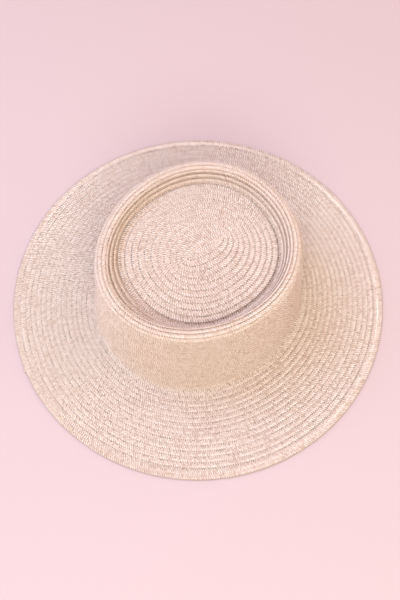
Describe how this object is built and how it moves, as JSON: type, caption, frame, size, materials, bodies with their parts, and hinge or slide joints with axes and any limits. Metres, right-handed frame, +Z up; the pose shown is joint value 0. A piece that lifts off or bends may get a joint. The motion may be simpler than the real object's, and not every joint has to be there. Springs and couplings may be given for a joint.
{
  "type": "straw boater hat",
  "caption": "Sewn straw hat with a wide flat round brim and a tapered oval crown whose top is pressed into a shallow dish.",
  "frame": {"origin": "on the surface that the hat stands on, below the middle of the brim", "axes": "+Z up through the crown, -Y the front of the hat, +Y the back where the braid ends, +X the wearer's left"},
  "size_m": [0.3304, 0.332, 0.1055],
  "materials": {
    "crown_straw": "matte sewn paper straw braid",
    "brim_straw": "matte sewn paper straw braid",
    "edge_straw": "matte sewn paper straw braid, doubled"
  },
  "bodies": {
    "root": {"crown": "crown_straw", "brim": "brim_straw", "edge_row": "edge_straw"}
  },
  "joints": []
}
